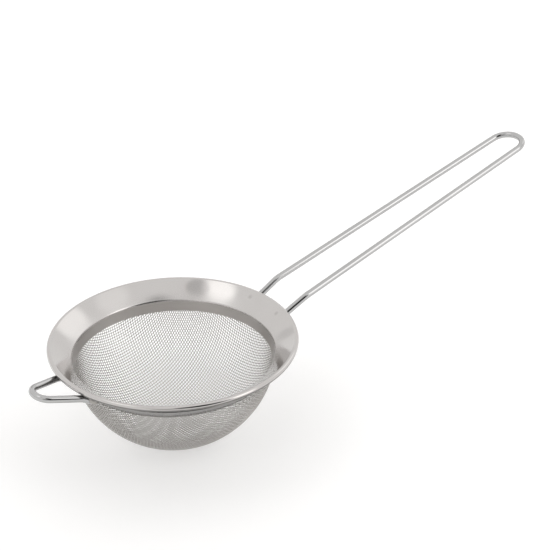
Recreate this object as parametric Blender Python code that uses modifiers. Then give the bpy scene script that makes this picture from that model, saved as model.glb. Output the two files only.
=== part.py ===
"""A tea strainer: a woven wire bowl in a sloping sheet rim, with a wire handle and a cup rest.

Metres, +Z up. The origin is the centre of the small flat under the bowl. The handle runs
along +X and the cup rest along -X, and every piece is symmetric about the XZ plane.
"""

import math

import bmesh
import bpy
from mathutils import Vector

# Driving dimensions
OPENING_RADIUS = 0.0394  # inside of the collar's lower edge, the free opening over the mesh
FLANGE_WIDTH = 0.0106  # from there to the outside of the rolled bead
FLANGE_SLOPE = math.radians(38.0)
RIM_SHEET = 0.0005
BEAD_RADIUS = 0.0011
COLLAR_LENGTH = 0.0043  # straight part of the collar, along its slope
COLLAR_FLARE = math.radians(14.0)  # how far the collar leans out from upright
COLLAR_BEND = 0.0013  # bend from the flange down into the collar, on the visible side
DOME_DEPTH = 0.0343  # from the collar's lower edge to the bowl's base
BASE_FLAT_RADIUS = 0.005
CLOTH_THICKNESS = 0.0005  # two crossing wires of the woven cloth
BAND_HEIGHT = 0.0016
BAND_THICKNESS = 0.0005
WIRE_RADIUS = 0.0014  # handle and cup rest
STUB_SLOPE = math.radians(24.5)  # of both wires where they lie under the rim
HANDLE_LENGTH = 0.1427  # from the rim's edge to the outside of the handle's end
HANDLE_RISE = math.radians(13.5)
HANDLE_NECK = 0.0100  # from the rim's edge to the handle's bend
HANDLE_ROOT_HALF_WIDTH = 0.0090  # wire centre from the XZ plane, under the bead
HANDLE_HALF_WIDTH = 0.0096  # the same, at the bend
HANDLE_END_RADIUS = 0.0074
HANDLE_BEND_RADIUS = 0.015
REST_LENGTH = 0.0145  # from the rim's edge to the outside of the cup rest's tip
REST_RISE = math.radians(12.7)
REST_BEND_INSET = 0.0019  # from the rim's edge in to the rest's bend, under the bead
REST_ROOT_HALF_WIDTH = 0.0091  # wire centre from the XZ plane, under the bead
REST_TIP_HALF_WIDTH = 0.0044
REST_CORNER_RADIUS = 0.0057
REST_BEND_RADIUS = 0.006
WELD_LENGTH = 0.0048
WELD_WIDTH = 0.0058
WELD_HEIGHT = 0.0038
WELD_LIFT = 0.0009  # of the weld's middle above the wire's

# Clearances
SEAT_GAP = 0.0003  # between pieces that touch on the real object
STUB_END_GAP = 0.0014  # from the clamp band to the end of a welded wire

# How round things are
TURN_STEPS = 72
CURL_STEPS = 9
BEND_STEPS = 3
DOME_STEPS = 10
CURL_SWEEP = math.radians(262.0)
ARC_STEP = math.radians(18.0)  # along the bent wires


def beside_collar(depth, height):
    """A profile point this deep behind the collar's visible face, this far up along it."""
    return (
        OPENING_RADIUS + depth * math.cos(COLLAR_FLARE) + height * math.sin(COLLAR_FLARE),
        DOME_DEPTH - depth * math.sin(COLLAR_FLARE) + height * math.cos(COLLAR_FLARE),
    )


# Places that follow from them
RIM_RADIUS = OPENING_RADIUS + FLANGE_WIDTH
BEAD_CENTRE_RADIUS = RIM_RADIUS - BEAD_RADIUS
BEND_CENTRE_RADIUS, BEND_CENTRE_Z = beside_collar(COLLAR_BEND, COLLAR_LENGTH)
NORMAL_ANGLE = math.pi / 2 + FLANGE_SLOPE  # of the flange's upper face, in its profile
BEAD_Z = (
    BEND_CENTRE_Z
    + (COLLAR_BEND - BEAD_RADIUS) * math.sin(NORMAL_ANGLE)
    + (
        BEAD_CENTRE_RADIUS
        - BEND_CENTRE_RADIUS
        + (BEAD_RADIUS - COLLAR_BEND) * math.cos(NORMAL_ANGLE)
    )
    * math.tan(FLANGE_SLOPE)
)
SKIRT_DEPTH = RIM_SHEET + SEAT_GAP + CLOTH_THICKNESS  # of the skirt's outer face
BAND_DEPTH = SKIRT_DEPTH + SEAT_GAP + BAND_THICKNESS  # of the band's outer face
BAND_OUTER_RADIUS = beside_collar(BAND_DEPTH, COLLAR_LENGTH)[0]
HANDLE_TIP_X = RIM_RADIUS + HANDLE_LENGTH - WIRE_RADIUS
REST_TIP_X = RIM_RADIUS + REST_LENGTH - WIRE_RADIUS
STUB_DROP = (BEAD_RADIUS + SEAT_GAP + WIRE_RADIUS) / math.cos(STUB_SLOPE)
UNDERSIDE_RISE = (BEAD_RADIUS - RIM_SHEET) / math.cos(FLANGE_SLOPE)


def clear_scene():
    for item in list(bpy.data.objects):
        bpy.data.objects.remove(item)


def new_collection(name):
    group = bpy.data.collections.new(name)
    bpy.context.scene.collection.children.link(group)
    return group


def metal(name, colour, roughness):
    material = bpy.data.materials.new(name)
    material.use_nodes = True
    shader = material.node_tree.nodes["Principled BSDF"]
    shader.inputs["Base Color"].default_value = (*colour, 1.0)
    shader.inputs["Metallic"].default_value = 1.0
    shader.inputs["Roughness"].default_value = roughness
    material.diffuse_color = (*colour, 1.0)
    return material


def add_object(name, data, group, material):
    item = bpy.data.objects.new(name, data)
    item.data.materials.append(material)
    group.objects.link(item)
    return item


def make_cutter(name, data, group):
    item = bpy.data.objects.new(name, data)
    item.hide_render = True
    item.display_type = "WIRE"
    group.objects.link(item)
    return item


def arc_points(centre, radius, start, sweep, steps):
    """Points (r, z) on an arc of a turned profile."""
    angles = [start + sweep * i / steps for i in range(steps + 1)]
    return [
        (centre[0] + radius * math.cos(a), centre[1] + radius * math.sin(a))
        for a in angles
    ]


def profile_mesh(name, points, closed=False):
    """The points (r, z) of a turned profile as a wire at +X."""
    mesh = bmesh.new()
    corners = [mesh.verts.new((r, 0.0, z)) for r, z in points]
    for first, second in zip(corners, corners[1:]):
        mesh.edges.new((first, second))
    if closed:
        mesh.edges.new((corners[-1], corners[0]))
    data = bpy.data.meshes.new(name)
    mesh.to_mesh(data)
    mesh.free()
    return data


def turn(item):
    """Turns the object's profile about Z."""
    screw = item.modifiers.new("turn", "SCREW")
    screw.steps = TURN_STEPS
    screw.render_steps = TURN_STEPS
    screw.use_merge_vertices = True
    screw.merge_threshold = 0.00001
    screw.use_smooth_shade = True


def thicken(item, thickness):
    """Makes the turned surface a closed shell, of which it stays the outer face."""
    shell = item.modifiers.new("sheet", "SOLIDIFY")
    shell.thickness = thickness
    shell.offset = -1.0
    shell.use_even_offset = True


def rim_flange(group, material):
    """Rolled bead, sloping flange and collar, drawn from one sheet."""
    points = arc_points(
        (BEAD_CENTRE_RADIUS, BEAD_Z),
        BEAD_RADIUS,
        NORMAL_ANGLE - CURL_SWEEP,
        CURL_SWEEP,
        CURL_STEPS,
    )
    points += arc_points(
        (BEND_CENTRE_RADIUS, BEND_CENTRE_Z),
        COLLAR_BEND,
        NORMAL_ANGLE,
        math.pi - COLLAR_FLARE - NORMAL_ANGLE,
        BEND_STEPS,
    )
    points.append(beside_collar(0.0, 0.0))
    item = add_object("rim_flange", profile_mesh("rim_flange", points[::-1]), group, material)
    turn(item)
    thicken(item, RIM_SHEET)
    return item


def mesh_bowl(group, material):
    """The woven cloth: a spherical bowl with a flat base, and a skirt outside the collar."""
    edge_radius, edge_z = beside_collar(SKIRT_DEPTH, 0.0)
    centre_z = (edge_radius**2 + edge_z**2 - BASE_FLAT_RADIUS**2) / (2.0 * edge_z)
    ball = math.hypot(centre_z, BASE_FLAT_RADIUS)
    first = math.asin((edge_z - centre_z) / ball)
    last = -math.acos(BASE_FLAT_RADIUS / ball)
    dome = arc_points((0.0, centre_z), ball, first, last - first, DOME_STEPS)
    points = [beside_collar(SKIRT_DEPTH, COLLAR_LENGTH)] + dome + [(0.0, 0.0)]
    item = add_object("mesh_bowl", profile_mesh("mesh_bowl", points), group, material)
    turn(item)
    thicken(item, CLOTH_THICKNESS)
    return item


def clamp_ring(group, material):
    """The band that holds the cloth's skirt on the collar."""
    points = [
        beside_collar(BAND_DEPTH, COLLAR_LENGTH),
        beside_collar(BAND_DEPTH, COLLAR_LENGTH - BAND_HEIGHT),
    ]
    item = add_object("clamp_ring", profile_mesh("clamp_ring", points), group, material)
    turn(item)
    thicken(item, BAND_THICKNESS)
    return item


def rounded_path(corners, radii):
    """The polyline through the corners, with each inner corner rounded to its radius."""
    path = [corners[0]]
    for before, corner, after, radius in zip(corners, corners[1:], corners[2:], radii):
        towards = (before - corner).normalized()
        away = (after - corner).normalized()
        half_angle = towards.angle(away) / 2.0
        middle = (towards + away).normalized()
        centre = corner + middle * (radius / math.sin(half_angle))
        start = corner + towards * (radius / math.tan(half_angle)) - centre
        sweep = math.pi - 2.0 * half_angle
        steps = max(2, math.ceil(sweep / ARC_STEP))
        turn_axis = start.cross(-towards).normalized()
        side = turn_axis.cross(start)
        for i in range(steps + 1):
            angle = sweep * i / steps
            path.append(centre + start * math.cos(angle) + side * math.sin(angle))
    path.append(corners[-1])
    return path


def wire(name, path, group, material):
    """A round bar along the path, with flat ends."""
    data = bpy.data.curves.new(name, "CURVE")
    data.dimensions = "3D"
    data.bevel_depth = WIRE_RADIUS
    data.bevel_resolution = 2
    data.use_fill_caps = True
    spline = data.splines.new("POLY")
    spline.points.add(len(path) - 1)
    for point, place in zip(spline.points, path):
        point.co = (*place, 1.0)
    spline.use_smooth = True
    return add_object(name, data, group, material)


class Stub:
    """The straight stretch of a wire that is welded under the rim, on the +Y side.

    It passes one gap under the bead, at its root half width, and slopes down towards the
    bowl. A splay angle above zero brings it closer to the XZ plane as it runs outwards.
    """

    def __init__(self, side, root_half_width, splay):
        self.side = side
        self.half_width = root_half_width
        self.splay = splay
        self.bead_x = math.sqrt(BEAD_CENTRE_RADIUS**2 - root_half_width**2)

    def point(self, run):
        """Centre of the wire at this horizontal run outwards from under the bead."""
        x = self.bead_x + run * math.cos(self.splay)
        y = self.half_width - run * math.sin(self.splay)
        return Vector((self.side * x, y, BEAD_Z - STUB_DROP + run * math.tan(STUB_SLOPE)))

    def direction(self):
        return (self.point(1.0) - self.point(0.0)).normalized()

    def run_at_x(self, x):
        return (x - self.bead_x) / math.cos(self.splay)

    def end_run(self):
        """The innermost run that clears both the clamp band and the flange's lower face."""
        radial = self.bead_x * math.cos(self.splay) - self.half_width * math.sin(self.splay)
        nearest = BAND_OUTER_RADIUS + STUB_END_GAP
        run_to_band = math.sqrt(radial**2 + nearest**2 - BEAD_CENTRE_RADIUS**2) - radial
        flange_slope = math.tan(FLANGE_SLOPE) * radial / BEAD_CENTRE_RADIUS
        room = UNDERSIDE_RISE + STUB_DROP - (WIRE_RADIUS + SEAT_GAP) / math.cos(FLANGE_SLOPE)
        run_to_flange = -room / (flange_slope - math.tan(STUB_SLOPE))
        return max(run_to_band, run_to_flange)


def mirrored(points):
    """The points, then their mirror images across the XZ plane in the opposite order."""
    return points + [Vector((p.x, -p.y, p.z)) for p in reversed(points)]


def bent_wire_path(stub, neck_x, tip_x, tip_half_width, rise, bend_radius, corner_radius):
    """A wire that leaves its stub at neck_x, runs out at the rise and returns at tip_x."""
    neck = stub.point(stub.run_at_x(neck_x))
    tip_z = neck.z + (tip_x - neck_x) * math.tan(rise)
    corner = Vector((stub.side * tip_x, tip_half_width, tip_z))
    corners = mirrored([stub.point(stub.end_run()), neck, corner])
    return rounded_path(corners, [bend_radius, corner_radius, corner_radius, bend_radius])


def handle_stub():
    neck = RIM_RADIUS + HANDLE_NECK - BEAD_CENTRE_RADIUS
    splay = math.atan2(HANDLE_ROOT_HALF_WIDTH - HANDLE_HALF_WIDTH, neck)
    return Stub(1.0, HANDLE_ROOT_HALF_WIDTH, splay)


def rest_stub():
    length = REST_TIP_X - BEAD_CENTRE_RADIUS
    splay = math.atan2(REST_ROOT_HALF_WIDTH - REST_TIP_HALF_WIDTH, length)
    return Stub(-1.0, REST_ROOT_HALF_WIDTH, splay)


def handle_wire(group, material):
    """The long handle: one wire bent into a U, its ends under the rim."""
    path = bent_wire_path(
        handle_stub(),
        RIM_RADIUS + HANDLE_NECK,
        HANDLE_TIP_X,
        HANDLE_END_RADIUS,
        HANDLE_RISE,
        HANDLE_BEND_RADIUS,
        HANDLE_END_RADIUS,
    )
    return wire("handle_wire", path, group, material)


def rest_loop(group, material):
    """The short loop opposite the handle that sits on the edge of a cup."""
    path = bent_wire_path(
        rest_stub(),
        RIM_RADIUS - REST_BEND_INSET,
        REST_TIP_X,
        REST_TIP_HALF_WIDTH,
        REST_RISE,
        REST_BEND_RADIUS,
        REST_CORNER_RADIUS,
    )
    return wire("rest_loop", path, group, material)


def rim_cutter(group):
    """The space of the rim with a gap round it, for the welds."""
    gap = SEAT_GAP / math.cos(FLANGE_SLOPE)
    slope = math.tan(FLANGE_SLOPE)
    bead_side = BEAD_CENTRE_RADIUS - BEAD_RADIUS - SEAT_GAP
    bead_bottom = BEAD_Z - BEAD_RADIUS - SEAT_GAP
    inside = OPENING_RADIUS
    outside = RIM_RADIUS + 0.005
    above = BEAD_Z + 0.005

    def underside(radius):
        return BEAD_Z + UNDERSIDE_RISE - gap + (radius - BEAD_CENTRE_RADIUS) * slope

    points = [
        (outside, above),
        (outside, bead_bottom),
        (bead_side, bead_bottom),
        (bead_side, underside(bead_side)),
        (inside, underside(inside)),
        (inside, above),
    ]
    item = make_cutter("rim_cutter", profile_mesh("rim_cutter", points, closed=True), group)
    turn(item)
    return item


def pose_along(direction, place):
    """A matrix with X along the direction, Z as near up as that allows, at the place."""
    rotation = direction.to_track_quat("X", "Z").to_matrix().to_4x4()
    rotation.translation = place
    return rotation


def wire_cutter(name, place, direction, group):
    """The space of one welded wire with a gap round it."""
    mesh = bmesh.new()
    bmesh.ops.create_cone(
        mesh,
        cap_ends=True,
        segments=16,
        radius1=WIRE_RADIUS + SEAT_GAP,
        radius2=WIRE_RADIUS + SEAT_GAP,
        depth=3.0 * WELD_LENGTH,
    )
    data = bpy.data.meshes.new(name)
    mesh.to_mesh(data)
    mesh.free()
    item = make_cutter(name, data, group)
    rotation = direction.to_track_quat("Z", "X").to_matrix().to_4x4()
    rotation.translation = place
    item.matrix_world = rotation
    return item


def weld(name, stub, hand, rim_space, group, cutters, material):
    """Weld metal in the wedge between one wire and the flange's lower face."""
    run = stub.end_run() + 0.5 * WELD_LENGTH
    place = stub.point(run)
    direction = stub.direction()
    place.y *= hand
    direction.y *= hand
    mesh = bmesh.new()
    bmesh.ops.create_uvsphere(mesh, u_segments=14, v_segments=8, radius=0.5)
    bmesh.ops.scale(mesh, verts=mesh.verts, vec=(WELD_LENGTH, WELD_WIDTH, WELD_HEIGHT))
    bmesh.ops.translate(mesh, verts=mesh.verts, vec=(0.0, 0.0, WELD_LIFT))
    for face in mesh.faces:
        face.smooth = True
    data = bpy.data.meshes.new(name)
    mesh.to_mesh(data)
    mesh.free()
    item = add_object(name, data, group, material)
    item.matrix_world = pose_along(direction, place)
    for cutter in (rim_space, wire_cutter(name + "_cutter", place, direction, cutters)):
        cut = item.modifiers.new("cut_" + cutter.name, "BOOLEAN")
        cut.operation = "DIFFERENCE"
        cut.solver = "EXACT"
        cut.object = cutter
    return item


def main():
    clear_scene()
    parts = new_collection("tea_strainer")
    cutters = new_collection("cutters")
    polished = metal("polished_steel", (0.78, 0.78, 0.78), 0.08)
    woven = metal("woven_steel", (0.72, 0.72, 0.71), 0.30)
    drawn = metal("steel_wire", (0.80, 0.80, 0.80), 0.12)
    fused = metal("weld_steel", (0.55, 0.54, 0.52), 0.40)
    made = [
        rim_flange(parts, polished),
        mesh_bowl(parts, woven),
        clamp_ring(parts, polished),
        handle_wire(parts, drawn),
        rest_loop(parts, drawn),
    ]
    rim_space = rim_cutter(cutters)
    for owner, stub in (("handle", handle_stub()), ("rest", rest_stub())):
        for side, hand in (("left", 1.0), ("right", -1.0)):
            name = f"{owner}_weld_{side}"
            made.append(weld(name, stub, hand, rim_space, parts, cutters, fused))
    root = bpy.data.objects.new("strainer_root", None)
    parts.objects.link(root)
    for item in made:
        item.parent = root


main()
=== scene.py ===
"""Looks of the tea strainer: fine sheet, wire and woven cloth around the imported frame."""

import math

import bpy
import numpy as np
from mathutils import Matrix, Vector


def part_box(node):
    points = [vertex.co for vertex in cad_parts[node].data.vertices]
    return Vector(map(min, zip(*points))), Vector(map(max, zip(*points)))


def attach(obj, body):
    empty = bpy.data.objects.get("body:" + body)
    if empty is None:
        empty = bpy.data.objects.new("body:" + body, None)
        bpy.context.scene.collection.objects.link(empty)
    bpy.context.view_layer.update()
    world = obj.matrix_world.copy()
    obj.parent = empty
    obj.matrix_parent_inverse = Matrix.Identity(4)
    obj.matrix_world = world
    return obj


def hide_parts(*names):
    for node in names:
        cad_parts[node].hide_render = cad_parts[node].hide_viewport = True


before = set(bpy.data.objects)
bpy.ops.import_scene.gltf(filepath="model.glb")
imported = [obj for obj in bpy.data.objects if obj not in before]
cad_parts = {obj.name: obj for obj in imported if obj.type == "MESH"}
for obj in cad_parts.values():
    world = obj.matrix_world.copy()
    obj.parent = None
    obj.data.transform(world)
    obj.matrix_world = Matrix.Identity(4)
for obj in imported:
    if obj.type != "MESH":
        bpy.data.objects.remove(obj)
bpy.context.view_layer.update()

# Sizes that the frame's boxes don't give, in metres
SHEET = 0.0005
BEAD_RADIUS = 0.0011
FLANGE_SLOPE = math.radians(38.0)
FLANGE_CROWN = 0.00015  # how far the pressed flange bulges at mid width
COLLAR_BEND = 0.0013
COLLAR_FLARE = math.radians(14.0)
BASE_FLAT = 0.005
CLOTH = 0.0005
CLOTH_GAP = 0.0003
CLOTH_WIRE = 0.00013  # radius
CLOTH_PITCH = 0.00112
CLOTH_TURN = math.radians(5.5)
WIRE = 0.0014  # radius of the handle and the rest
STUB_SLOPE = math.radians(24.5)
STUB_INSET = 0.0006  # from the wire's box to the centre of its cut end
WIRE_EASE = 0.0003  # length of the eased cut end
HANDLE_HALF = 0.0090  # half widths: under the bead, at the neck and at the tip
HANDLE_NECK_HALF = 0.0096
HANDLE_TIP_HALF = 0.0074
HANDLE_NECK = 0.0100  # the bend's distance outside the rim
HANDLE_RISE = math.radians(13.5)
HANDLE_BEND = 0.015
HANDLE_CORNER = 0.0074
REST_HALF = 0.0091
REST_TIP_HALF = 0.0044
REST_NECK = 0.0019  # the bend's distance inside the rim's edge
REST_RISE = math.radians(12.7)
REST_BEND = 0.006
REST_CORNER = 0.0057
BEAD_CURL = math.radians(262.0)
BAND_EASE = 0.00012
WELD_HALF_LENGTH = 0.0024
WELD_HALF_WIDTH = 0.0029
WELD_HALF_HEIGHT = 0.0019
WELD_RISE = 0.0009  # from the wire's centre to the weld's
WELD_BITE = 0.0002  # how far the weld reaches into the sheet
WELD_MARK = (0.0452, 0.0088)  # where the handle's welds show on the flange
WELD_MARK_RADIUS = 0.0013

# How finely round things are divided
RIM_TURNS = 360
BAND_TURNS = 240
BEAD_STEPS = 44
BEND_STEPS = 10
FLANGE_STEPS = 16
COLLAR_STEPS = 4
DOME_STEPS = 60
CLOTH_SIDES = 6
WELD_TURNS = 40
WELD_ROWS = 20

# Places, from the frame
rim_low, rim_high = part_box("rim_flange")
bowl_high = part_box("mesh_bowl")[1]
band_low, band_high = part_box("clamp_ring")
handle_low, handle_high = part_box("handle_wire")
rest_low, rest_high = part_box("rest_loop")
RIM_RADIUS = rim_high.x
LEAN_SIN, LEAN_COS = math.sin(COLLAR_FLARE), math.cos(COLLAR_FLARE)
CLOTH_IN = SHEET + CLOTH_GAP  # depths behind the collar's visible face
CLOTH_OUT = CLOTH_IN + CLOTH
BAND_OUT = CLOTH_OUT + CLOTH_GAP + SHEET
COLLAR_LOW_Z = rim_low.z + SHEET * LEAN_SIN
COLLAR_LENGTH = (bowl_high.z - COLLAR_LOW_Z + CLOTH_IN * LEAN_SIN) / LEAN_COS
OPENING_RADIUS = bowl_high.x - CLOTH_OUT * LEAN_COS - COLLAR_LENGTH * LEAN_SIN
BAND_HEIGHT = (band_high.z - band_low.z - SHEET * LEAN_SIN) / LEAN_COS


def beside_collar(depth, height):
    """A profile point this deep behind the collar's visible face, this far up along it."""
    return (
        OPENING_RADIUS + depth * LEAN_COS + height * LEAN_SIN,
        COLLAR_LOW_Z - depth * LEAN_SIN + height * LEAN_COS,
    )


BEAD_CENTRE = RIM_RADIUS - BEAD_RADIUS
NORMAL_ANGLE = math.pi / 2 + FLANGE_SLOPE
BEND_CENTRE, BEND_Z = beside_collar(COLLAR_BEND, COLLAR_LENGTH)
COLLAR_TOP_Z = beside_collar(0.0, COLLAR_LENGTH)[1]
BEAD_Z = (
    BEND_Z
    + (COLLAR_BEND - BEAD_RADIUS) * math.sin(NORMAL_ANGLE)
    + (BEAD_CENTRE - BEND_CENTRE + (BEAD_RADIUS - COLLAR_BEND) * math.cos(NORMAL_ANGLE))
    * math.tan(FLANGE_SLOPE)
)


# ---------------------------------------------------------------- mesh helpers


def add_mesh(name, vertices, faces, material, smooth=True):
    data = bpy.data.meshes.new(name)
    data.from_pydata(vertices, [], faces)
    data.validate()
    data.update()
    if smooth:
        data.shade_smooth()
    item = bpy.data.objects.new(name, data)
    bpy.context.scene.collection.objects.link(item)
    data.materials.append(material)
    return item


def arc(centre, radius, start, sweep, steps):
    angles = [start + sweep * i / steps for i in range(steps + 1)]
    return [(centre[0] + radius * math.cos(a), centre[1] + radius * math.sin(a)) for a in angles]


def inset(points, thickness):
    """The other face of a sheet whose visible face has this profile."""
    moved = []
    for i, (r, z) in enumerate(points):
        before = points[max(i - 1, 0)]
        after = points[min(i + 1, len(points) - 1)]
        dr, dz = after[0] - before[0], after[1] - before[1]
        length = math.hypot(dr, dz)
        moved.append((r + thickness * dz / length, z - thickness * dr / length))
    return moved


def turned(name, profile, steps, material, wobble=None):
    """A closed profile (r, z) turned about Z."""
    count = len(profile)
    vertices = []
    for i in range(steps):
        a = 2.0 * math.pi * i / steps
        for r, z in profile:
            dr, dz = wobble(a, r, z) if wobble else (0.0, 0.0)
            vertices.append(((r + dr) * math.cos(a), (r + dr) * math.sin(a), z + dz))
    faces = []
    for i in range(steps):
        j = (i + 1) % steps
        for k in range(count):
            m = (k + 1) % count
            faces.append((i * count + k, j * count + k, j * count + m, i * count + m))
    item = add_mesh(name, vertices, faces, material)
    item.data.set_sharp_from_angle(angle=math.radians(50.0))
    return item


# ---------------------------------------------------------------- materials


class Nodes:
    """A short way to build a material's nodes."""

    def __init__(self, name):
        self.material = bpy.data.materials.new(name)
        self.material.use_nodes = True
        self.tree = self.material.node_tree
        self.shader = self.tree.nodes["Principled BSDF"]
        self.coordinates = self.tree.nodes.new("ShaderNodeTexCoord")
        self.place = self.coordinates.outputs["Object"]

    def node(self, kind, **settings):
        made = self.tree.nodes.new(kind)
        for key, value in settings.items():
            setattr(made, key, value)
        return made

    def link(self, source, target):
        self.tree.links.new(source, target)

    def noise(self, scale, detail=3.0, vector=None, rough=0.5):
        made = self.node("ShaderNodeTexNoise")
        made.inputs["Scale"].default_value = scale
        made.inputs["Detail"].default_value = detail
        made.inputs["Roughness"].default_value = rough
        self.link(vector or self.place, made.inputs["Vector"])
        return made.outputs["Fac"]

    def spread(self, value, low, high, out_low, out_high):
        made = self.node("ShaderNodeMapRange")
        self.link(value, made.inputs["Value"])
        for key, number in zip(
            ("From Min", "From Max", "To Min", "To Max"), (low, high, out_low, out_high)
        ):
            made.inputs[key].default_value = number
        return made.outputs["Result"]

    def blend(self, factor, first, second):
        made = self.node("ShaderNodeMix", data_type="RGBA")
        self.link(factor, made.inputs["Factor"])
        for key, colour in (("A", first), ("B", second)):
            socket = [s for s in made.inputs if s.name == key and s.type == "RGBA"][0]
            if isinstance(colour, tuple):
                socket.default_value = (*colour, 1.0)
            else:
                self.link(colour, socket)
        return [s for s in made.outputs if s.type == "RGBA"][0]

    def math(self, operation, first, second):
        made = self.node("ShaderNodeMath", operation=operation)
        for socket, value in zip(made.inputs, (first, second)):
            if isinstance(value, (int, float)):
                socket.default_value = value
            else:
                self.link(value, socket)
        return made.outputs["Value"]

    def bump(self, heights):
        """Bump from pairs of a height output and its depth in metres."""
        normal = None
        for height, depth in heights:
            made = self.node("ShaderNodeBump")
            made.inputs["Strength"].default_value = 1.0
            made.inputs["Distance"].default_value = depth
            self.link(height, made.inputs["Height"])
            if normal:
                self.link(normal, made.inputs["Normal"])
            normal = made.outputs["Normal"]
        self.link(normal, self.shader.inputs["Normal"])

    def near(self, point, radius):
        """1 at the point, falling to 0 at the radius."""
        away = self.node("ShaderNodeVectorMath", operation="DISTANCE")
        self.link(self.place, away.inputs[0])
        away.inputs[1].default_value = point
        return self.spread(away.outputs["Value"], 0.0, radius, 1.0, 0.0)


def steel(name, dark, light, rough_low, rough_high, grain, ripple):
    """Bright steel with faint drawing lines, handling marks and uneven gloss."""
    n = Nodes(name)
    n.shader.inputs["Metallic"].default_value = 1.0
    cloud = n.noise(55.0, 4.0)
    n.link(n.blend(cloud, dark, light), n.shader.inputs["Base Color"])
    smear = n.noise(140.0, 5.0, rough=0.6)
    n.link(n.spread(smear, 0.3, 0.75, rough_low, rough_high), n.shader.inputs["Roughness"])
    fine = n.noise(2600.0, 2.0)
    wave = n.noise(38.0, 2.0)
    n.bump([(fine, grain), (wave, ripple)])
    return n


def shade_and_dull_where(n, share, colour, roughness):
    """Fades a steel to a darker, duller one where the share is 1: painted shade in some places,
    real marks in others.
    """
    for name, value in (("Base Color", colour), ("Roughness", roughness)):
        socket = n.shader.inputs[name]
        bright = socket.links[0].from_socket
        if name == "Base Color":
            n.link(n.blend(share, bright, value), socket)
        else:
            kept = n.math("MULTIPLY", n.math("SUBTRACT", 1.0, share), bright)
            n.link(n.math("ADD", kept, n.math("MULTIPLY", share, value)), socket)


def flange_point(x, y):
    """A point on the flange's upper face."""
    rise = BEAD_RADIUS / math.cos(FLANGE_SLOPE)
    return (x, y, BEAD_Z + rise + (math.hypot(x, y) - BEAD_CENTRE) * math.tan(FLANGE_SLOPE))


def rim_metal():
    """Polished on the flange and bead; the collar and the downward-facing faces are darker and
    rougher, the darkening there being painted shade, and the welds leave duller marks.
    """
    n = steel("rim_steel", (0.51, 0.492, 0.482), (0.56, 0.547, 0.538), 0.06, 0.10, 3e-7, 3e-5)
    place = n.node("ShaderNodeSeparateXYZ")
    n.link(n.place, place.inputs["Vector"])
    low, high = COLLAR_TOP_Z - 0.0002, COLLAR_TOP_Z + 0.0003
    collar = n.spread(place.outputs["Z"], low, high, 1.0, 0.0)
    flat = n.node("ShaderNodeVectorMath", operation="MULTIPLY")
    n.link(n.place, flat.inputs[0])
    flat.inputs[1].default_value = (1.0, 1.0, 0.0)
    radius = n.node("ShaderNodeVectorMath", operation="LENGTH")
    n.link(flat.outputs["Vector"], radius.inputs[0])
    facing = n.node("ShaderNodeSeparateXYZ")
    n.link(n.coordinates.outputs["Normal"], facing.inputs["Vector"])
    under = n.spread(facing.outputs["Z"], -0.10, 0.22, 1.0, 0.0)
    # Painted shade: the collar inside the opening is darkened as if it lay in shade, and made a
    # little rougher.
    shade_and_dull_where(n, collar, (0.45, 0.43, 0.415), 0.14)
    # Painted shade: faces turned downwards, under the flange and bead, are darkened as if shaded
    # from above, and made rougher.
    shade_and_dull_where(n, under, (0.19, 0.185, 0.18), 0.26)
    middle = OPENING_RADIUS + 0.0052
    worn = n.spread(radius.outputs["Value"], OPENING_RADIUS + 0.0018, middle, 0.14, 0.02)
    gloss = n.shader.inputs["Roughness"]
    n.link(n.math("ADD", gloss.links[0].from_socket, worn), gloss)
    spots = [
        n.near(flange_point(WELD_MARK[0], hand * WELD_MARK[1]), WELD_MARK_RADIUS)
        for hand in (1.0, -1.0)
    ]
    shade_and_dull_where(n, n.math("MULTIPLY", n.math("ADD", *spots), 0.32), (0.22, 0.21, 0.20), 0.34)
    return n


rim_steel = rim_metal()
band_steel = steel("band_steel", (0.25, 0.245, 0.24), (0.34, 0.335, 0.33), 0.18, 0.32, 1e-6, 2e-5)
wire_steel = steel("wire_steel", (0.42, 0.42, 0.42), (0.48, 0.48, 0.48), 0.04, 0.10, 3e-7, 4e-6)
cloth_steel = steel("cloth_steel", (0.42, 0.405, 0.39), (0.52, 0.51, 0.495), 0.12, 0.26, 6e-7, 3e-6)
weld_steel = steel("weld_steel", (0.30, 0.28, 0.25), (0.46, 0.45, 0.44), 0.26, 0.50, 1e-5, 6e-5)


# ---------------------------------------------------------------- rim and band


def rim_wobble(angle, r, z):
    """The slight unevenness of a pressed and rolled rim."""
    lift = 4e-5 * math.sin(2.0 * angle + 0.6) + 2.5e-5 * math.sin(5.0 * angle + 1.9)
    out = 3e-5 * math.sin(3.0 * angle + 2.2) + 1.5e-5 * math.sin(7.0 * angle)
    share = min(max((r - OPENING_RADIUS) / (RIM_RADIUS - OPENING_RADIUS), 0.0), 1.0)
    return out * share - 3e-5 * share, lift * share - 4e-5 * share


def make_rim():
    bead = arc((BEAD_CENTRE, BEAD_Z), BEAD_RADIUS, NORMAL_ANGLE - BEAD_CURL, BEAD_CURL, BEAD_STEPS)
    sweep = math.pi - COLLAR_FLARE - NORMAL_ANGLE
    bend = arc((BEND_CENTRE, BEND_Z), COLLAR_BEND, NORMAL_ANGLE, sweep, BEND_STEPS)
    first, last = bead[-1], bend[0]
    slope = []
    for i in range(1, FLANGE_STEPS):
        share = i / FLANGE_STEPS
        crown = FLANGE_CROWN * 4.0 * share * (1.0 - share)
        r = first[0] + (last[0] - first[0]) * share + crown * math.cos(NORMAL_ANGLE)
        z = first[1] + (last[1] - first[1]) * share + crown * math.sin(NORMAL_ANGLE)
        slope.append((r, z))
    down = [1.0 - i / COLLAR_STEPS for i in range(1, COLLAR_STEPS + 1)]
    low = [beside_collar(0.0, COLLAR_LENGTH * share) for share in down]
    seen = bead + slope + bend + low
    profile = seen + inset(seen, -SHEET)[::-1]
    return turned("rim", profile, RIM_TURNS, rim_steel.material, rim_wobble)


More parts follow.
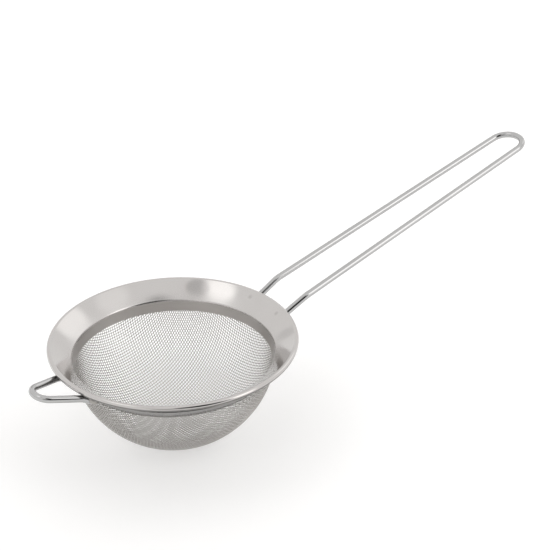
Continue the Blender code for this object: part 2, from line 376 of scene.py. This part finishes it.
def make_band():
    inner, outer = BAND_OUT - SHEET, BAND_OUT
    low, high = COLLAR_LENGTH - BAND_HEIGHT, COLLAR_LENGTH
    corners = [
        (inner, low),
        (outer - BAND_EASE, low),
        (outer, low + BAND_EASE),
        (outer, high - BAND_EASE),
        (outer - BAND_EASE, high),
        (inner, high),
    ]
    profile = [beside_collar(*corner) for corner in corners]
    return turned("cloth_band", profile, BAND_TURNS, band_steel.material)


# ---------------------------------------------------------------- woven cloth


def woven_net(step, count):
    """Crossings of square woven cloth draped on a unit sphere, from its lowest point."""
    net = np.zeros((count + 1, count + 1, 3))
    along = np.arange(count + 1) * step
    net[:, 0] = np.stack([np.sin(along), 0 * along, -np.cos(along)], 1)
    net[0, :] = np.stack([0 * along, np.sin(along), -np.cos(along)], 1)
    for i in range(1, count + 1):
        for j in range(1, count + 1):
            a, b, o = net[i - 1, j], net[i, j - 1], net[i - 1, j - 1]
            middle = (a + b) / np.linalg.norm(a + b)
            side = np.cross(a, b)
            side /= np.linalg.norm(side)
            reach = math.cos(step) / math.sqrt((1.0 + a @ b) / 2.0)
            rise = math.sqrt(max(0.0, 1.0 - reach * reach))
            one, two = reach * middle + rise * side, reach * middle - rise * side
            net[i, j] = one if np.dot(one - o, one - o) > np.dot(two - o, two - o) else two
    return net


def cloth_profile():
    """Arc length, radius, height and outward normal of the middle of the cloth."""
    outer, depth = beside_collar(CLOTH_OUT, 0.0)
    centre = (outer**2 + depth**2 - BASE_FLAT**2) / (2.0 * depth)
    ball = math.hypot(centre, BASE_FLAT) - 2.0 * CLOTH_WIRE
    points = [(0.0, 2.0 * CLOTH_WIRE)]
    start = math.asin(BASE_FLAT / ball)
    middle = CLOTH_OUT - 2.0 * CLOTH_WIRE
    edge = beside_collar(middle, 0.0)
    stop = math.atan2(edge[0], centre - edge[1])
    for i in range(DOME_STEPS + 1):
        a = start + (stop - start) * i / DOME_STEPS
        points.append((ball * math.sin(a), max(centre - ball * math.cos(a), 2.0 * CLOTH_WIRE)))
    points.append(beside_collar(middle, COLLAR_LENGTH - 0.0001))
    points = np.array(points)
    steps = np.linalg.norm(np.diff(points, axis=0), axis=1)
    length = np.concatenate([[0.0], np.cumsum(steps)])
    slope = np.gradient(points, length, axis=0)
    slope /= np.linalg.norm(slope, axis=1)[:, None]
    return length, points, np.stack([slope[:, 1], -slope[:, 0]], 1), ball


def cloth_points(directions, lift, profile):
    """Puts directions from the net on the bowl, lifted along its normal."""
    length, points, normals, ball = profile
    theta = np.arccos(np.clip(-directions[:, 2], -1.0, 1.0))
    run = np.minimum(theta * ball, length[-1])
    r, z = (np.interp(run, length, points[:, k]) for k in (0, 1))
    nr, nz = (np.interp(run, length, normals[:, k]) for k in (0, 1))
    turn = np.arctan2(directions[:, 1], directions[:, 0]) + CLOTH_TURN
    r = r + lift * nr
    return np.stack([r * np.cos(turn), r * np.sin(turn), z + lift * nz], 1)


def tube(path, radius, sides):
    """Vertices and faces of a closed tube along the path."""
    tangent = np.gradient(path, axis=0)
    tangent /= np.linalg.norm(tangent, axis=1)[:, None]
    reference = np.cross(tangent, np.array([0.0, 0.0, 1.0]))
    weak = np.linalg.norm(reference, axis=1) < 0.2
    reference[weak] = np.cross(tangent[weak], np.array([1.0, 0.0, 0.0]))
    for i in range(1, len(path)):
        kept = reference[i - 1] - tangent[i] * (reference[i - 1] @ tangent[i])
        reference[i] = kept
        reference[i] /= np.linalg.norm(reference[i])
    reference[0] /= np.linalg.norm(reference[0])
    other = np.cross(tangent, reference)
    angles = 2.0 * math.pi * np.arange(sides) / sides
    ring = (
        path[:, None]
        + radius * np.cos(angles)[None, :, None] * reference[:, None]
        + radius * np.sin(angles)[None, :, None] * other[:, None]
    )
    vertices = ring.reshape(-1, 3)
    faces = []
    for i in range(len(path) - 1):
        for k in range(sides):
            m = (k + 1) % sides
            faces.append((i * sides + k, i * sides + m, (i + 1) * sides + m, (i + 1) * sides + k))
    last = (len(path) - 1) * sides
    faces.append(tuple(range(sides))[::-1])
    faces.append(tuple(last + k for k in range(sides)))
    return vertices, faces


def make_cloth():
    profile = cloth_profile()
    length, ball = profile[0], profile[3]
    limit = length[-1] / ball
    step = CLOTH_PITCH / ball
    count = int(math.ceil(limit / step)) + 3
    quarter = woven_net(step, count)
    size = 2 * count + 1
    net = np.zeros((size, size, 3))
    for i in range(size):
        for j in range(size):
            place = quarter[abs(i - count), abs(j - count)].copy()
            place[0] *= math.copysign(1.0, i - count)
            place[1] *= math.copysign(1.0, j - count)
            net[i, j] = place
    made = []
    for family in (0, 1):
        wires = net if family == 0 else net.transpose(1, 0, 2)
        for half in (0, 1):
            vertices, faces, used = [], [], 0
            span = range(0, count) if half == 0 else range(count, size)
            for i in span:
                theta = np.arccos(np.clip(-wires[i, :, 2], -1.0, 1.0))
                inside = np.nonzero(theta < limit)[0]
                if len(inside) < 2:
                    continue
                row = wires[i, inside]
                middle = row[:-1] + row[1:]
                middle /= np.linalg.norm(middle, axis=1)[:, None]
                path = np.zeros((2 * len(row) - 1, 3))
                path[0::2], path[1::2] = row, middle
                lift = np.zeros(len(path))
                sign = np.where((i + inside) % 2 == 0, 1.0, -1.0) * (1.0 if family == 0 else -1.0)
                lift[0::2] = sign * CLOTH_WIRE
                ring, quads = tube(cloth_points(path, lift, profile), CLOTH_WIRE, CLOTH_SIDES)
                vertices.append(ring)
                faces.extend([tuple(used + v for v in face) for face in quads])
                used += len(ring)
            name = ("warp", "weft")[family] + ("_near", "_far")[half]
            made.append(
                add_mesh(name, np.concatenate(vertices).tolist(), faces, cloth_steel.material)
            )
    return made


# ---------------------------------------------------------------- bent wires


def rounded_path(corners, radii):
    path = [corners[0]]
    for before, corner, after, radius in zip(corners, corners[1:], corners[2:], radii):
        towards = (before - corner).normalized()
        away = (after - corner).normalized()
        half_angle = towards.angle(away) / 2.0
        middle = (towards + away).normalized()
        centre = corner + middle * (radius / math.sin(half_angle))
        start = corner + towards * (radius / math.tan(half_angle)) - centre
        sweep = math.pi - 2.0 * half_angle
        steps = max(3, math.ceil(sweep / math.radians(5.0)))
        turn_axis = start.cross(-towards).normalized()
        side = turn_axis.cross(start)
        for i in range(steps + 1):
            angle = sweep * i / steps
            path.append(centre + start * math.cos(angle) + side * math.sin(angle))
    path.append(corners[-1])
    return path


def stub_line(side, half_width, splay):
    """A function from a run outwards from under the bead to the wire's centre."""
    bead_x = math.sqrt(BEAD_CENTRE**2 - half_width**2)
    drop = (BEAD_RADIUS + CLOTH_GAP + WIRE) / math.cos(STUB_SLOPE)

    def place(x):
        run = (x - bead_x) / math.cos(splay)
        y = half_width - run * math.sin(splay)
        return Vector((side * x, y, BEAD_Z - drop + run * math.tan(STUB_SLOPE)))

    return place


def bent_wire(name, line, start_x, neck_x, tip, rise, bend, corner, material):
    """One wire from under the rim, out to its tip and back."""
    side = 1.0 if tip[0] > 0.0 else -1.0
    neck = line(neck_x)
    tip_z = neck.z + (abs(tip[0]) - neck_x) * math.tan(rise)
    half = [line(start_x), neck, Vector((tip[0], tip[1], tip_z))]
    corners = half + [Vector((p.x, -p.y, p.z)) for p in reversed(half)]
    path = rounded_path(corners, [bend, corner, corner, bend])
    dense = [path[0]]
    for before, after in zip(path, path[1:]):
        pieces = max(1, int((after - before).length / 0.004))
        dense += [before.lerp(after, (k + 1) / pieces) for k in range(pieces)]
    first, last = after_cut(dense[0], dense[1]), after_cut(dense[-1], dense[-2])
    places = [dense[0], first] + dense[1:-1] + [last, dense[-1]]
    data = bpy.data.curves.new(name, "CURVE")
    data.dimensions = "3D"
    data.bevel_depth = WIRE
    data.bevel_resolution = 6
    data.use_fill_caps = True
    spline = data.splines.new("POLY")
    spline.points.add(len(places) - 1)
    for i, (point, place) in enumerate(zip(spline.points, places)):
        point.co = (*place, 1.0)
        point.radius = 0.8 if i in (0, len(places) - 1) else 1.0
    spline.use_smooth = True
    data.materials.append(material)
    item = bpy.data.objects.new(name, data)
    bpy.context.scene.collection.objects.link(item)
    return item


def after_cut(end, inner):
    """The point where a cut end's easing begins."""
    return end + (inner - end).normalized() * WIRE_EASE


def make_weld(name, node, line, hand):
    """Weld metal pressed out between the wire and the flange's lower face."""
    low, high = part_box(node)
    centre = (low + high) / 2.0
    on_wire = line(abs(centre.x))
    step = line(abs(centre.x) + 0.001) - on_wire
    along = Vector((step.x, step.y * hand, step.z)).normalized()
    across = Vector((0.0, 0.0, 1.0)).cross(along).normalized()
    up = along.cross(across)
    middle = Vector((on_wire.x, on_wire.y * hand, on_wire.z)) + up * WELD_RISE
    under = BEAD_Z + (BEAD_RADIUS - SHEET) / math.cos(FLANGE_SLOPE)
    spots = [(0.0, 0.0)]
    for i in range(1, WELD_ROWS):
        v = math.pi * i / WELD_ROWS
        spots += [(v, 2.0 * math.pi * k / WELD_TURNS) for k in range(WELD_TURNS)]
    spots.append((math.pi, 0.0))
    vertices, faces = [], []
    for v, u in spots:
        waves = 0.05 * math.sin(3.0 * u + 2.0 * v + hand) + 0.03 * math.sin(7.0 * u - 5.0 * v)
        lump = 1.0 + waves * math.sin(v)
        place = (
            middle
            + along * (WELD_HALF_LENGTH * lump * math.cos(v))
            + across * (WELD_HALF_WIDTH * lump * math.sin(v) * math.cos(u))
            + up * (WELD_HALF_HEIGHT * lump * math.sin(v) * math.sin(u))
        )
        r = math.hypot(place.x, place.y)
        sheet = under + (r - BEAD_CENTRE) * math.tan(FLANGE_SLOPE)
        place.z = min(place.z, sheet + WELD_BITE)
        vertices.append(tuple(place))
    last = len(vertices) - 1
    for k in range(WELD_TURNS):
        m = (k + 1) % WELD_TURNS
        faces.append((0, 1 + k, 1 + m))
        faces.append((last - WELD_TURNS + m, last - WELD_TURNS + k, last))
        for low_ring in range(1, last - WELD_TURNS, WELD_TURNS):
            high_ring = low_ring + WELD_TURNS
            faces.append((low_ring + k, high_ring + k, high_ring + m, low_ring + m))
    return add_mesh(name, vertices, faces, weld_steel.material)


# ---------------------------------------------------------------- the object


def placed(item, slot_name, *nodes):
    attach(item, "root")
    if nodes:
        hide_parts(*nodes)


placed(make_rim(), "polished_steel", "rim_flange")
placed(make_band(), "polished_steel", "clamp_ring")
for i, piece in enumerate(make_cloth()):
    placed(piece, "woven_steel", *(["mesh_bowl"] if i == 0 else []))

handle_neck_x = RIM_RADIUS + HANDLE_NECK
handle_splay = math.atan2(HANDLE_HALF - HANDLE_NECK_HALF, handle_neck_x - BEAD_CENTRE)
handle_line = stub_line(1.0, HANDLE_HALF, handle_splay)
handle_tip_x = handle_high.x - WIRE
handle = bent_wire(
    "handle",
    handle_line,
    handle_low.x + STUB_INSET,
    handle_neck_x,
    (handle_tip_x, HANDLE_TIP_HALF),
    HANDLE_RISE,
    HANDLE_BEND,
    HANDLE_CORNER,
    wire_steel.material,
)
placed(handle, "steel_wire", "handle_wire")

rest_tip_x = -rest_low.x - WIRE
rest_splay = math.atan2(REST_HALF - REST_TIP_HALF, rest_tip_x - BEAD_CENTRE)
rest_line = stub_line(-1.0, REST_HALF, rest_splay)
rest = bent_wire(
    "cup_rest",
    rest_line,
    -rest_high.x + STUB_INSET,
    RIM_RADIUS - REST_NECK,
    (-rest_tip_x, REST_TIP_HALF),
    REST_RISE,
    REST_BEND,
    REST_CORNER,
    wire_steel.material,
)
placed(rest, "steel_wire", "rest_loop")

for owner, line in (("handle", handle_line), ("rest", rest_line)):
    for side, hand in (("left", 1.0), ("right", -1.0)):
        node = f"{owner}_weld_{side}"
        placed(make_weld("weld_" + owner + "_" + side, node, line, hand), "weld_steel", node)


# ---------------------------------------------------------------- studio

# Azimuth, elevation, inner and outer radius (degrees), and brightness added or share lost
ROOM_LEVEL = 1.06
SOFT_BOXES = (
    (157.0, 62.0, 6.0, 13.0, 0.72),
    (3.0, 32.0, 10.0, 16.0, 0.42),
    (-34.0, 58.0, 6.0, 14.0, 0.18),
    (-64.0, 36.0, 13.0, 18.0, 1.10),
    (-62.0, 14.0, 8.0, 13.0, 0.70),
)
DARK_PATCHES = (
    (184.0, 70.0, 6.0, 8.0, -0.30),
    (89.0, 14.0, 3.0, 6.0, -0.15),
    (62.0, 10.0, 9.0, 13.0, -0.35),
    (-104.0, 57.0, 8.0, 12.0, -0.85),
    (-104.0, 40.0, 14.0, 18.0, -0.80),
    (-96.0, 20.0, 11.0, 15.0, -0.80),
    (-92.0, 30.0, 16.0, 20.0, -0.92),
    (-125.0, 26.0, 16.0, 26.0, -0.45),
)


FLOOR_SIZE = 8.0
FLOOR_DROP = 0.0002
CAMERA_LENS = 98.88
CAMERA_PLACE = Vector((-0.28014, -0.43076, 0.35754))
CAMERA_BACK = Vector((-0.5333, -0.6924, 0.4860))
CAMERA_RIGHT = Vector((0.7874, -0.6163, -0.0140))


def pale_floor():
    bpy.ops.mesh.primitive_plane_add(size=FLOOR_SIZE, location=(0.0, 0.0, -FLOOR_DROP))
    floor = bpy.context.object
    floor.name = "studio_floor"
    n = Nodes("floor_paint")
    n.shader.inputs["Roughness"].default_value = 0.7
    n.shader.inputs["Emission Color"].default_value = (1.0, 1.0, 1.0, 1.0)
    n.shader.inputs["Emission Strength"].default_value = 0.15
    n.link(
        n.blend(n.noise(3.0), (0.93, 0.93, 0.93), (0.95, 0.95, 0.95)),
        n.shader.inputs["Base Color"],
    )
    floor.data.materials.append(n.material)


def aim(azimuth, elevation):
    a, e = math.radians(azimuth), math.radians(elevation)
    return (math.cos(a) * math.cos(e), math.sin(a) * math.cos(e), math.sin(e))


def studio_world():
    """An even pale room with soft boxes and a dark side, fixed in direction."""
    world = bpy.data.worlds.new("studio")
    bpy.context.scene.world = world
    world.use_nodes = True
    tree = world.node_tree
    background = tree.nodes["Background"]
    direction = tree.nodes.new("ShaderNodeTexCoord").outputs["Generated"]
    total = None
    for azimuth, elevation, inner, outer, amount in SOFT_BOXES + DARK_PATCHES:
        dot = tree.nodes.new("ShaderNodeVectorMath")
        dot.operation = "DOT_PRODUCT"
        tree.links.new(direction, dot.inputs[0])
        dot.inputs[1].default_value = aim(azimuth, elevation)
        patch = tree.nodes.new("ShaderNodeMapRange")
        patch.interpolation_type = "SMOOTHSTEP"
        tree.links.new(dot.outputs["Value"], patch.inputs["Value"])
        patch.inputs["From Min"].default_value = math.cos(math.radians(outer))
        patch.inputs["From Max"].default_value = math.cos(math.radians(inner))
        dark = amount < 0.0
        patch.inputs["To Min"].default_value = 1.0 if dark else 0.0
        patch.inputs["To Max"].default_value = 1.0 + amount if dark else amount
        joined = tree.nodes.new("ShaderNodeMath")
        joined.operation = "MULTIPLY" if dark else "ADD"
        tree.links.new(patch.outputs["Result"], joined.inputs[0])
        if total:
            tree.links.new(total, joined.inputs[1])
        else:
            joined.inputs[1].default_value = ROOM_LEVEL
        total = joined.outputs["Value"]
    tree.links.new(total, background.inputs["Strength"])
    background.inputs["Color"].default_value = (1.0, 0.99, 0.98, 1.0)


def camera():
    data = bpy.data.cameras.new("photo_camera")
    data.lens = CAMERA_LENS
    data.sensor_width = 36.0
    data.clip_start = 0.01
    item = bpy.data.objects.new("photo_camera", data)
    bpy.context.scene.collection.objects.link(item)
    back = CAMERA_BACK.normalized()
    right = (CAMERA_RIGHT - back * CAMERA_RIGHT.dot(back)).normalized()
    up = back.cross(right)
    turn = Matrix((right, up, back)).transposed().to_4x4()
    turn.translation = CAMERA_PLACE
    item.matrix_world = turn
    bpy.context.scene.camera = item


pale_floor()
studio_world()
camera()
bpy.context.scene.view_settings.view_transform = "Standard"
